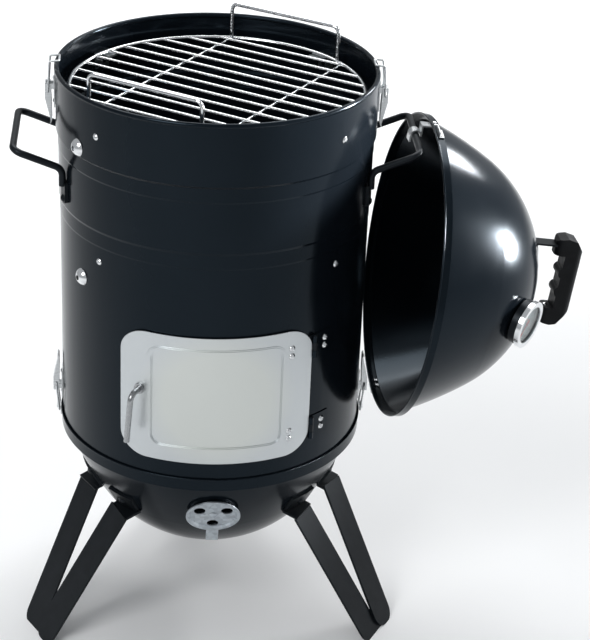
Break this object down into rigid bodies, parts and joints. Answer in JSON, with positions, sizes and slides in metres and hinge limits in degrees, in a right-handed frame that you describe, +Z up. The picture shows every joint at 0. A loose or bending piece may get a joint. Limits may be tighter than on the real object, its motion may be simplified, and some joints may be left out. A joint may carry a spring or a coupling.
{
  "type": "charcoal smoker",
  "caption": "Upright charcoal smoker: fire bowl on folded strap legs, stepped black barrel with a steel door, wire grates, draw latches and a domed lid hung on its side handle.",
  "frame": {"origin": "on the barrel axis at ground level, under the middle of the three feet", "axes": "+Z up along the barrel axis, front with the door towards -Y, lid hung towards +X"},
  "size_m": [0.6969, 0.4432, 0.7325],
  "materials": {
    "gloss_enamel": "gloss",
    "satin_black": "satin",
    "stainless": "brushed",
    "bright_metal": "polished",
    "zinc": "matt zinc",
    "grip_black": "matte",
    "dial_face": "matte",
    "needle_red": "satin",
    "clear_glass": "clear"
  },
  "bodies": {
    "smoker": {"barrel": "gloss_enamel", "fire_bowl": "gloss_enamel", "leg_front_left": "satin_black", "leg_front_right": "satin_black", "leg_rear": "satin_black", "leg_bolts": "satin_black", "upper_brackets": "stainless", "lower_brackets": "stainless", "bracket_screws": "bright_metal", "upper_eyelet": "bright_metal", "lower_eyelet": "bright_metal", "left_handle": "satin_black", "right_handle": "satin_black", "handle_bolts": "satin_black", "base_upper_left": "stainless", "base_upper_right": "stainless", "base_lower_left": "stainless", "base_lower_right": "stainless", "bowl_catches": "stainless", "body_hinges": "satin_black", "hinge_pins": "satin_black", "body_hinge_screws": "bright_metal", "vent_rivets": "zinc"},
    "door": {"door_panel": "stainless", "door_hinges": "satin_black", "door_hinge_screws": "bright_metal"},
    "door_latch": {"door_handle": "stainless", "door_tongue": "zinc"},
    "damper_front": {"damper_front": "zinc"},
    "damper_left": {"damper_left": "zinc"},
    "damper_right": {"damper_right": "zinc"},
    "lid": {"lid_shell": "gloss_enamel", "lid_hook": "stainless", "lid_rivets": "bright_metal", "lid_catches": "stainless", "lid_posts": "satin_black", "lid_grip": "grip_black", "grip_screws": "bright_metal", "gauge_case": "satin_black", "gauge_bezel": "bright_metal", "gauge_dial": "dial_face", "gauge_glass": "clear_glass", "gauge_stem": "bright_metal"},
    "lid_damper": {"lid_damper": "zinc"},
    "gauge_needle": {"gauge_needle": "needle_red"},
    "top_grate": {"top_grate": "bright_metal"},
    "water_pan": {"water_pan": "gloss_enamel"},
    "lower_grate": {"lower_grate": "bright_metal"},
    "fire_basket": {"charcoal_grate": "zinc", "charcoal_basket": "zinc"},
    "lever_upper_left": {"lever_upper_left": "stainless"},
    "bail_upper_left": {"bail_upper_left": "stainless"},
    "lever_upper_right": {"lever_upper_right": "stainless"},
    "bail_upper_right": {"bail_upper_right": "stainless"},
    "lever_lower_left": {"lever_lower_left": "stainless"},
    "bail_lower_left": {"bail_lower_left": "stainless"},
    "lever_lower_right": {"lever_lower_right": "stainless"},
    "bail_lower_right": {"bail_lower_right": "stainless"}
  },
  "joints": [
    {"name": "door_swing", "type": "hinge", "parent": "smoker", "child": "door", "pos_m": [0.11438, -0.14996, 0.366], "axis": [0, 0, 1], "range_deg": [0, 120]},
    {"name": "door_latch_turn", "type": "hinge", "parent": "door", "child": "door_latch", "pos_m": [-0.09037, -0.16713, 0.373], "axis": [0.4756, 0.8796, 0], "range_deg": [0, 90]},
    {"name": "damper_front_turn", "type": "hinge", "parent": "smoker", "child": "damper_front", "pos_m": [0, -0.15878, 0.196], "axis": [0, -0.8884, -0.459], "range_deg": [-60, 60]},
    {"name": "damper_left_turn", "type": "hinge", "parent": "smoker", "child": "damper_left", "pos_m": [-0.1375, 0.07939, 0.196], "axis": [-0.7694, 0.4442, -0.459], "range_deg": [-60, 60]},
    {"name": "damper_right_turn", "type": "hinge", "parent": "smoker", "child": "damper_right", "pos_m": [0.1375, 0.07939, 0.196], "axis": [0.7694, 0.4442, -0.459], "range_deg": [-60, 60]},
    {"name": "lid_swing", "type": "hinge", "parent": "smoker", "child": "lid", "pos_m": [0.236, 0, 0.628], "axis": [0, -1, 0], "range_deg": [0, 35]},
    {"name": "lid_damper_turn", "type": "hinge", "parent": "lid", "child": "lid_damper", "pos_m": [0.35408, 0.11245, 0.4608], "axis": [0.7367, 0.6757, 0.0271], "range_deg": [-60, 60]},
    {"name": "gauge_needle_turn", "type": "hinge", "parent": "lid", "child": "gauge_needle", "pos_m": [0.37171, -0.1051, 0.42871], "axis": [0.7924, -0.5899, -0.1553], "range_deg": [-80, 180]},
    {"name": "top_grate_lift", "type": "slide", "parent": "smoker", "child": "top_grate", "axis": [0, 0, 1], "range_m": [0, 0.3]},
    {"name": "water_pan_lift", "type": "slide", "parent": "smoker", "child": "water_pan", "axis": [0, 0, 1], "range_m": [0, 0.05]},
    {"name": "lower_grate_lift", "type": "slide", "parent": "water_pan", "child": "lower_grate", "axis": [0, 0, 1], "range_m": [0, 0.07]},
    {"name": "fire_basket_lift", "type": "slide", "parent": "smoker", "child": "fire_basket", "axis": [0, 0, 1], "range_m": [0, 0.15]},
    {"name": "lever_upper_left_lift", "type": "hinge", "parent": "smoker", "child": "lever_upper_left", "pos_m": [-0.197, 0, 0.684], "axis": [0, 1, 0], "range_deg": [0, 150]},
    {"name": "bail_upper_left_follow", "type": "hinge", "parent": "lever_upper_left", "child": "bail_upper_left", "pos_m": [-0.197, 0, 0.678], "axis": [0, 1, 0], "range_deg": [-150, 0]},
    {"name": "lever_lower_left_lift", "type": "hinge", "parent": "smoker", "child": "lever_lower_left", "pos_m": [-0.1929, 0, 0.287], "axis": [0, -1, 0], "range_deg": [0, 150]},
    {"name": "bail_lower_left_follow", "type": "hinge", "parent": "lever_lower_left", "child": "bail_lower_left", "pos_m": [-0.1929, 0, 0.293], "axis": [0, -1, 0], "range_deg": [-150, 0]},
    {"name": "lever_upper_right_lift", "type": "hinge", "parent": "smoker", "child": "lever_upper_right", "pos_m": [0.197, 0, 0.684], "axis": [0, -1, 0], "range_deg": [0, 150]},
    {"name": "bail_upper_right_follow", "type": "hinge", "parent": "lever_upper_right", "child": "bail_upper_right", "pos_m": [0.197, 0, 0.678], "axis": [0, -1, 0], "range_deg": [-150, 0]},
    {"name": "lever_lower_right_lift", "type": "hinge", "parent": "smoker", "child": "lever_lower_right", "pos_m": [0.1929, 0, 0.287], "axis": [0, 1, 0], "range_deg": [0, 70]},
    {"name": "bail_lower_right_follow", "type": "hinge", "parent": "lever_lower_right", "child": "bail_lower_right", "pos_m": [0.1929, 0, 0.293], "axis": [0, 1, 0], "range_deg": [-70, 0]}
  ],
  "couplings": [
    {"joint": "bail_upper_left_follow", "follows": "lever_upper_left_lift", "ratio": -1},
    {"joint": "bail_lower_left_follow", "follows": "lever_lower_left_lift", "ratio": -1},
    {"joint": "bail_upper_right_follow", "follows": "lever_upper_right_lift", "ratio": -1},
    {"joint": "bail_lower_right_follow", "follows": "lever_lower_right_lift", "ratio": -1}
  ]
}
